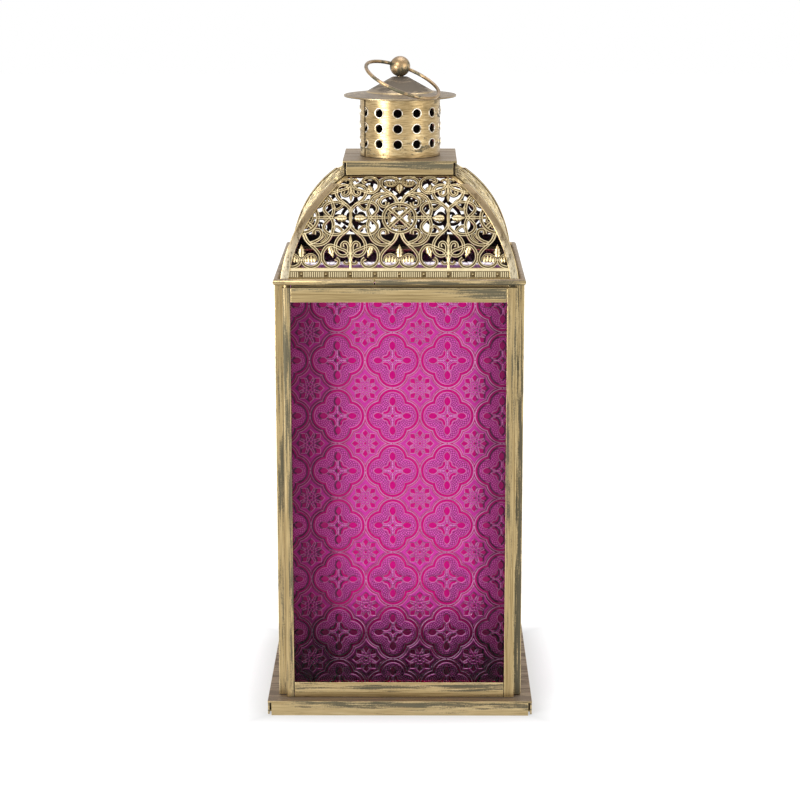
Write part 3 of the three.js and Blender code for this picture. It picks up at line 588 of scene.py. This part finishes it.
for axis in (-HALF_PITCH, HALF_PITCH):
    swell((axis, MIDDLE - 5, 0.35), (axis, MIDDLE, 1.0), (axis, MIDDLE + 5, 0.35))
    for up in (-1, 1):
        swell(*((axis, MIDDLE + up * share * HALF_RISE, width) for share, width in heart_bud))


def in_panel(line):
    """True if some of a line's points lie on the panel."""
    return any(abs(x) < on_arc(up, 0)[0] for x, up, *width in line[0])


# Sections, in mm at a width of 1, that are swept along the strands and along the leaves
ridge = curve([([(-0.88, -0.8), (-0.88, -0.3), (-0.7, 0.1), (-0.4, 0.1), (-0.16, -0.3), (0.16, -0.3),
                 (0.4, 0.1), (0.7, 0.1), (0.88, -0.3), (0.88, -0.8)], True)], "POLY")
swelling = curve([([(-1, -0.8), (-1, -0.3), (-0.6, 0.05), (-0.16, 0.22), (0, -0.05), (0.16, 0.22),
                    (0.6, 0.05), (1, -0.3), (1, -0.8)], True)], "POLY")
flat_parts = [
    curve(filter(in_panel, lines), section=section)
    for lines, section in ((strands, ridge), (leaves, swelling))
]
bpy.data.objects.remove(ridge)
bpy.data.objects.remove(swelling)

# The panel's border: a plain frame with a foot band, where a plain raised fillet lies over a row
# of bars. The rows are (up, lift), and the mitres are trimmed a little for the ribs to cover.
PANEL_SHEET, MITRE_GAP, SIDE_BAND = 0.8, 1.1, 2.2
OPEN_ROWS = 16
rows = [(0, 0), (2.2, 0), (2.4, -0.25), (5.2, -0.25), (5.45, 0.1), (6.7, 0.1), (FOOT_BAND, -0.1)]
rows += [(FOOT_BAND + (OPEN_TOP - FOOT_BAND) * k / OPEN_ROWS, 0) for k in range(1, OPEN_ROWS + 1)]
rows += [(PANEL_TOP, 0)]
bpy.ops.object.select_all(action="DESELECT")
bpy.ops.mesh.primitive_grid_add(x_subdivisions=3, y_subdivisions=len(rows) - 1)
border = bpy.context.object
for k, (up, lift) in enumerate(rows):
    edge = on_arc(up, 0)[0] - MITRE_GAP
    for n, x in enumerate((-edge, SIDE_BAND - edge, edge - SIDE_BAND, edge)):
        border.data.vertices[4 * k + n].co = (x * MM, up * MM, lift * MM)
bpy.ops.object.mode_set(mode="EDIT")
bpy.ops.mesh.select_mode(type="FACE")
bpy.ops.object.mode_set(mode="OBJECT")
for face in border.data.polygons:
    face.select = face.index % 3 == 1 and FOOT_BAND * MM < face.center.y < OPEN_TOP * MM
bpy.ops.object.mode_set(mode="EDIT")
bpy.ops.mesh.delete(type="FACE")
bpy.ops.object.mode_set(mode="OBJECT")
apply_modifier(border, "SOLIDIFY", thickness=PANEL_SHEET * MM, offset=-1)

# The row of bars, with small diamonds in place of some
BAR_PITCH, BAR_UP = 1.05, 3.8
DIAMOND_GAP = 1.0
bars = 2 * int((on_arc(BAR_UP, 0)[0] - 2) / BAR_PITCH) + 1
first = -(bars - 1) / 2 * BAR_PITCH
bpy.ops.object.select_all(action="DESELECT")
bpy.ops.mesh.primitive_cube_add(size=MM, location=(first * MM, BAR_UP * MM, -0.1 * MM),
                                scale=(0.5, 2.7, 0.5))
bpy.ops.object.transform_apply(location=True, rotation=True, scale=True)
row_of_bars = bpy.context.object
apply_modifier(row_of_bars, "ARRAY", count=bars, use_relative_offset=False, use_constant_offset=True,
               constant_offset_displace=(BAR_PITCH * MM, 0, 0))
diamonds = [k * PITCH / 4 for k in range(-4, 5)]
bpy.ops.object.mode_set(mode="EDIT")
bpy.ops.mesh.select_mode(type="VERT")
bpy.ops.mesh.select_all(action="DESELECT")
bpy.ops.object.mode_set(mode="OBJECT")
for corner in row_of_bars.data.vertices:
    bar = first + BAR_PITCH * round((corner.co.x / MM - first) / BAR_PITCH)
    corner.select = any(abs(bar - x) < DIAMOND_GAP for x in diamonds)
bpy.ops.object.mode_set(mode="EDIT")
bpy.ops.mesh.delete(type="VERT")
bpy.ops.object.mode_set(mode="OBJECT")
flat_parts += [border, row_of_bars]
for x in diamonds:
    bpy.ops.mesh.primitive_cone_add(vertices=4, radius1=1.05 * MM, radius2=0, depth=0.6 * MM,
                                    location=(x * MM, BAR_UP * MM, 0.05 * MM))
    flat_parts.append(bpy.context.object)

# The parts become one flat sheet, trimmed at the mitres; then it is bent, and turned to each side
joined(border, *flat_parts)
bpy.ops.object.transform_apply(location=True, rotation=True, scale=True)
sheet = border.data
relief = sheet.attributes.new("relief", "FLOAT", "POINT")
for corner in sheet.vertices:
    x, up, lift = corner.co / MM
    up = min(max(up, 0), PANEL_TOP)
    edge = on_arc(up, 0)[0] - MITRE_GAP
    lift = max(min(lift, 0.25), -PANEL_SHEET)
    relief.data[corner.index].value = lift + PANEL_SHEET
    corner.co = Vector((max(-edge, min(edge, x)), up, lift)) * MM
# The inner face takes the brass painted black as shade
for face in sheet.polygons:
    face.material_index = 1 if face.normal.z < -0.7 else 0
for corner in sheet.vertices:
    half, height = on_arc(corner.co.y / MM, corner.co.z / MM)
    corner.co = (corner.co.x, -half * MM, height * MM)

# Pressed brass: the wash stays in the grooves, painted shade darkens them and a painted highlight
# lights the ridges, while the inner face is painted black as shade
filigree_brass = antiqued_brass("Antiqued brass pressed in filigree", (2.5, 2.5, 2.5), wash=0.45,
                                relief="relief", up_shade=(0.3, 0.85, 0.55, "66543C"))
shade_black = antiqued_brass("Brass painted black as shade inside", (4.0, 4.0, 4.0), inside=(1000, -1000, 1000, 1000))
for quarter, side in enumerate(SIDES):
    panel = border.copy()
    panel.data = border.data.copy()
    bpy.context.collection.objects.link(panel)
    panel.rotation_euler = (0, 0, quarter * math.pi / 2)
    bpy.context.view_layer.objects.active = panel
    panel.select_set(True)
    modelled("filigree_" + side, "lantern", (filigree_brass, shade_black), "roof_panel_" + side, angle=30)
bpy.data.objects.remove(border)

# Roof ribs: a strip of sheet folded to an angle and bent over each mitre of the roof, outside the
# panels, to which it is soldered.
RIB_TOP, RIB_FLANGE, RIB_LIFT, RIB_SHEET = 52.9, 4.2, 0.9, 0.6
RIB_STEPS = 36


def outward_faces():
    """Turns the faces of the active object to point outwards."""
    bpy.ops.object.mode_set(mode="EDIT")
    bpy.ops.mesh.select_all(action="SELECT")
    bpy.ops.mesh.normals_make_consistent(inside=False)
    bpy.ops.object.mode_set(mode="OBJECT")


# The same brass, brushed hard and cream, and browned by painted shade higher up, where it faces up
rib_brass = antiqued_brass("Antiqued brass of the ribs", (1.2, 1.2, 9.0), wash=0.32, bright="E2D8BE",
                           up_shade=(0.1, 0.5, 0.92, "6C5A40"))
for quarter, corner_name in enumerate(CORNERS):
    bpy.ops.object.select_all(action="DESELECT")
    bpy.ops.mesh.primitive_grid_add(x_subdivisions=2, y_subdivisions=RIB_STEPS)
    rib = bpy.context.object
    for k in range(RIB_STEPS + 1):
        half, height = on_arc(k * RIB_TOP / RIB_STEPS, RIB_LIFT)
        for n, (x, y) in enumerate(((RIB_FLANGE - half, -half), (-half, -half), (-half, RIB_FLANGE - half))):
            rib.data.vertices[3 * k + n].co = (x * MM, y * MM, height * MM)
    outward_faces()
    rib.data.materials.append(rib_brass)
    rib.data.materials.append(fold_highlight)
    apply_modifier(rib, "SOLIDIFY", thickness=RIB_SHEET * MM, offset=-1, use_even_offset=True)
    # The folds take the brass painted bright as a highlight
    apply_modifier(rib, "BEVEL", width=0.25 * MM, segments=2, limit_method="ANGLE",
                   angle_limit=math.radians(40), material=1)
    rib.rotation_euler = (0, 0, quarter * math.pi / 2)
    modelled("rib_" + corner_name, "lantern", (rib_brass, fold_highlight), "roof_rib_" + corner_name)

# Top plate: a small pan folded like the base, with open corners and a flue hole under the
# chimney. It sits over the heads of the panels and ribs.
folded_sheet("top_plate", brass_along_x, 0.3)


# Chimney: a strip of sheet rolled to a tube and lapped at the left, pierced with three rows of
# round vents. The punch left a raised lip round each of them, painted bright as a highlight.
def turned(points, steps, sweep=360.0, start=0.0):
    """A closed outline of (radius, height) in mm, swept round the upright axis."""
    bpy.ops.object.select_all(action="DESELECT")
    bpy.ops.mesh.primitive_circle_add(vertices=len(points))
    piece = bpy.context.object
    for corner, (radius, height) in zip(piece.data.vertices, points):
        corner.co = (radius * MM * math.cos(start), radius * MM * math.sin(start), height * MM)
    apply_modifier(piece, "SCREW", angle=math.radians(sweep), steps=steps, render_steps=steps,
                   use_merge_vertices=sweep == 360.0, merge_threshold=0.001 * MM)
    outward_faces()
    return piece


CHIMNEY_FOOT, CHIMNEY_TOP = 279.7, 310.1
CHIMNEY_RADIUS, CHIMNEY_SHEET = 20.5, 0.8
VENT_ROWS, VENT_COLUMNS, VENT_RADIUS = 3, 13, 2.15
FIRST_VENT, VENT_RISE, VENT_TURN = 7, 7.8, -93
LIP_RADIUS, LIP_THICKNESS, LIP_FROM_AXIS = 2.4, 0.33, 20.4
LAP_INNER, LAP_OUTER, LAP_MARGIN = 20.45, 20.9, 0.2
LAP_START, LAP_SWEEP = 196, 14.0

# Sheet brass rolled smooth: an even satin with a soft grain and a few patches of wash
rolled_brass = antiqued_brass("Antiqued brass rolled smooth", (5.0, 5.0, 1.8), wash=0.26, bright="B2986C")

# The raised lips are painted near white as a highlight, so they show as pale rings
lip_highlight = antiqued_brass("Brass lip painted bright as a highlight", (3.0, 3.0, 3.0), wash=0.0, bright="FBF3E2",
                             inside=None)
vents = []
for row in range(VENT_ROWS):
    for column in range(VENT_COLUMNS):
        angle = math.radians(VENT_TURN + 360 * column / VENT_COLUMNS)
        out = Vector((math.cos(angle), math.sin(angle), 0))
        up = Vector((0, 0, (CHIMNEY_FOOT + FIRST_VENT + VENT_RISE * row) * MM))
        vents.append((out, up, (math.pi / 2, 0, angle + math.pi / 2)))
bpy.ops.object.select_all(action="DESELECT")
drills, lips = [], []
for out, up, turn in vents:
    bpy.ops.mesh.primitive_cylinder_add(vertices=24, radius=VENT_RADIUS * MM, depth=4 * MM,
                                        location=out * CHIMNEY_RADIUS * MM + up, rotation=turn)
    drills.append(bpy.context.object)
for out, up, turn in vents:
    bpy.ops.mesh.primitive_torus_add(major_segments=24, minor_segments=6, major_radius=LIP_RADIUS * MM,
                                     minor_radius=LIP_THICKNESS * MM,
                                     location=out * LIP_FROM_AXIS * MM + up, rotation=turn)
    lips.append(bpy.context.object)
drill, lip = joined(*drills), joined(*lips)
for face in lip.data.polygons:
    face.material_index = 1
tube = turned([(CHIMNEY_RADIUS - CHIMNEY_SHEET, CHIMNEY_FOOT), (CHIMNEY_RADIUS, CHIMNEY_FOOT),
               (CHIMNEY_RADIUS, CHIMNEY_TOP), (CHIMNEY_RADIUS - CHIMNEY_SHEET, CHIMNEY_TOP)], 156)
apply_modifier(tube, "BOOLEAN", operation="DIFFERENCE", object=drill, solver="EXACT")
bpy.data.objects.remove(drill)
# The tube's inner face takes the brass painted black as shade
for face in tube.data.polygons:
    within = face.center.xy.length < (CHIMNEY_RADIUS - CHIMNEY_SHEET + 0.2) * MM
    face.material_index = 2 if within else 0
lap = turned([(LAP_INNER, CHIMNEY_FOOT + LAP_MARGIN), (LAP_OUTER, CHIMNEY_FOOT + LAP_MARGIN),
              (LAP_OUTER, CHIMNEY_TOP - LAP_MARGIN), (LAP_INNER, CHIMNEY_TOP - LAP_MARGIN)],
             6, LAP_SWEEP, math.radians(LAP_START))
chimney_metals = (rolled_brass, lip_highlight, shade_black)
for part in (tube, lip, lap):
    for metal in chimney_metals:
        part.data.materials.append(metal)
joined(tube, lip, lap)
modelled("chimney_tube", "lantern", chimney_metals, "chimney")

# Cap: brim, low step and cone, spun from one disc of sheet over a wooden form. The ball is seated
# on its mouth.
STEP_FROM, STEP_TO = 16.6, 17.3
cap = turned([(28.6, 310.2), (28.75, 310.0), (28.75, 309.6), (28.6, 309.4), (17.2, 310.8), (16.2, 311.2),
              (4.0, 317.9), (1.5, 318.4), (1.5, 319.2), (3.9, 319.2), (4.4, 319.0), (16.5, 312.2),
              (17.0, 312.0), (17.4, 311.6)], 120)
# The cap's underside takes the brass painted black as shade, and its step the brass painted bright as a
# highlight
for face in cap.data.polygons:
    on_step = STEP_FROM * MM < face.center.xy.length < STEP_TO * MM
    face.material_index = 1 if face.normal.z < -0.3 else 2 if on_step else 0

# Spun brass under dust and soot: taupe, darkest on the cone, with painted shade on what faces up,
# and faint rings from the lathe
spun_brass = antiqued_brass("Antiqued brass spun on a lathe", (6.0, 6.0, 1.2), wash=0.42, bright="A89478",
                            drift=(2, 311.5, 314.0), up_shade=(0.45, 0.9, 0.7, "6A6058"))
modelled("spun_cap", "lantern", (spun_brass, shade_black, fold_highlight), "cap", angle=28)

# Finial: a brass ball turned with its peg, which is fixed in the mouth of the cap. It is bored
# through on a slope for the ring.
BALL = Vector((0, 0, 324.479)) * MM
BALL_RADIUS, BORE_RADIUS, PEG_RADIUS, PEG_LENGTH, PEG_MIDDLE = 5.2, 1.55, 1.2, 6, 317.2
BORE = Vector((0.931154, 0.164188, -0.325568))

# Solid brass, turned or drawn, then washed: browner than the sheet, in soft mottled patches, with
# painted shade on what faces up
turned_brass = antiqued_brass("Antiqued brass, turned and drawn", (6.0, 6.0, 6.0), wash=0.45, bright="A88C68")
bpy.ops.object.select_all(action="DESELECT")
bpy.ops.mesh.primitive_cylinder_add(vertices=32, radius=BORE_RADIUS * MM, depth=14 * MM, location=BALL)
drill = bpy.context.object
drill.rotation_mode = "QUATERNION"
drill.rotation_quaternion = BORE.to_track_quat("Z", "Y")
bpy.ops.mesh.primitive_cylinder_add(vertices=32, radius=PEG_RADIUS * MM, depth=PEG_LENGTH * MM,
                                    location=(0, 0, PEG_MIDDLE * MM))
peg = bpy.context.object
bpy.ops.mesh.primitive_uv_sphere_add(segments=64, ring_count=32, radius=BALL_RADIUS * MM, location=BALL)
ball = bpy.context.object
bpy.ops.object.transform_apply(location=True, rotation=True, scale=True)
apply_modifier(ball, "BOOLEAN", operation="DIFFERENCE", object=drill, solver="EXACT")
bpy.data.objects.remove(drill)
joined(ball, peg)
modelled("finial", "lantern", (turned_brass,), "finial_ball")

# Ring: drawn brass wire bent to a circle through the ball's bore, in which it swings. At rest it
# leans forwards and lies on the brim.
RING_RADIUS, RING_WIRE = 19.6, 0.9
RING_CENTRE = Vector((1.416, -18.462, 319.219)) * MM
TOWARDS = Vector((0.0736, -0.9591, -0.2733)).normalized()
bpy.ops.object.select_all(action="DESELECT")
bpy.ops.mesh.primitive_torus_add(major_segments=96, minor_segments=12, major_radius=RING_RADIUS * MM,
                                 minor_radius=RING_WIRE * MM)
ring = bpy.context.object
ring.location = RING_CENTRE
ring.rotation_mode = "QUATERNION"
ring.rotation_quaternion = TOWARDS.cross(BORE).to_track_quat("Z", "Y")
modelled("carrying_ring", "ring", (turned_brass,), "ring_handle")


# Studio: a sheet of white paper under the lantern, a white surround that lights it at half of the
# strength it is seen at, and four soft square lamps, the strongest in front on the left.
def seen_ray(tree):
    """1 for rays from the camera, off metal or through glass, and 0 for the rest."""
    ray = add(tree, "LightPath")
    seen = add(tree, "Math", ray.outputs["Is Camera Ray"], ray.outputs["Is Transmission Ray"],
               operation="MAXIMUM")
    return add(tree, "Math", seen, ray.outputs["Is Glossy Ray"], operation="MAXIMUM")


world = bpy.data.worlds.new("white studio")
bpy.context.scene.world = world
tree = cleared(world)
strength = add(tree, "MapRange", seen_ray(tree), 0.0, 1.0, 0.5, 1.0)
add(tree, "OutputWorld", add(tree, "Background", {"Color": (1, 1, 1, 1), "Strength": strength}))

bpy.ops.object.select_all(action="DESELECT")
bpy.ops.mesh.primitive_plane_add(size=8, location=(0, 0, 0))
floor = bpy.context.object
floor.name = "floor"
SHADOW_FROM, SHADOW_TO = 67, 92

# Matt white paper. Its glow only shows where the paper is seen, and is weaker under the lantern,
# so that the shadow stays on it, and a little way round it, which paints a shadow there
paper = bpy.data.materials.new("White paper sweep")
tree = cleared(paper)
seen = seen_ray(tree)
off = add(tree, "VectorMath", add(tree, "TexCoord").outputs["Object"], operation="ABSOLUTE")
off = add(tree, "SeparateXYZ", off)
away = add(tree, "Math", off.outputs[0], off.outputs[1], operation="MAXIMUM")
glow_with_painted_shadow = add(tree, "MapRange", away, SHADOW_FROM * MM, SHADOW_TO * MM, 0.48, 0.96)
glow = add(tree, "Emission", {
    "Color": (1, 1, 1, 1), "Strength": add(tree, "Math", seen, glow_with_painted_shadow, operation="MULTIPLY"),
})
lit = add(tree, "AddShader", add(tree, "BsdfDiffuse", {"Color": (0.3, 0.3, 0.3, 1)}), glow)
below = add(tree, "NewGeometry").outputs["Backfacing"]
add(tree, "OutputMaterial", add(tree, "MixShader", below, lit, add(tree, "BsdfTransparent")))
floor.data.materials.append(paper)

LAMPS_AIM = Vector((0, 0, 0.16))
for name, place, size, power in (
    ("key", (-0.9, -1.3, 1.2), 0.9, 16),
    ("strip", (-0.8, -0.75, 0.25), 0.35, 5),
    ("fill", (1.3, -1.0, 0.6), 1.0, 7),
    ("top", (0.1, 0.2, 1.5), 0.9, 10),
):
    light = bpy.data.lights.new(name, "AREA")
    light.shape = "SQUARE"
    light.size = size
    light.energy = power
    lamp = bpy.data.objects.new(name, light)
    bpy.context.collection.objects.link(lamp)
    lamp.location = place
    lamp.rotation_euler = (LAMPS_AIM - Vector(place)).to_track_quat("-Z", "Y").to_euler()

# The camera stands where the photograph was taken from, a little above the lantern
SENSOR, IMAGE_PIXELS, FOCAL_PIXELS = 36.0, 800, 2363.6
PITCH_DOWN, YAW, ROLL = 12.41, -0.46, -0.07
TARGET, DISTANCE = Vector((-0.23, 0, 150.3)) * MM, 1242.1
camera = bpy.data.objects.new("camera", bpy.data.cameras.new("camera"))
bpy.context.collection.objects.link(camera)
camera.data.sensor_width = SENSOR
camera.data.lens = FOCAL_PIXELS / IMAGE_PIXELS * SENSOR
pitch, yaw, roll = (math.radians(d) for d in (PITCH_DOWN, YAW, ROLL))
level_way = Vector((math.sin(yaw), math.cos(yaw), 0))
right = Vector((math.cos(yaw), -math.sin(yaw), 0))
ahead = level_way * math.cos(pitch) - Vector((0, 0, 1)) * math.sin(pitch)
up = right.cross(ahead)
right, up = right * math.cos(roll) + up * math.sin(roll), up * math.cos(roll) - right * math.sin(roll)
camera.matrix_world = Matrix((right, up, -ahead)).transposed().to_4x4()
camera.location = TARGET - ahead * DISTANCE * MM
bpy.context.scene.camera = camera
bpy.context.scene.view_settings.view_transform = "Standard"
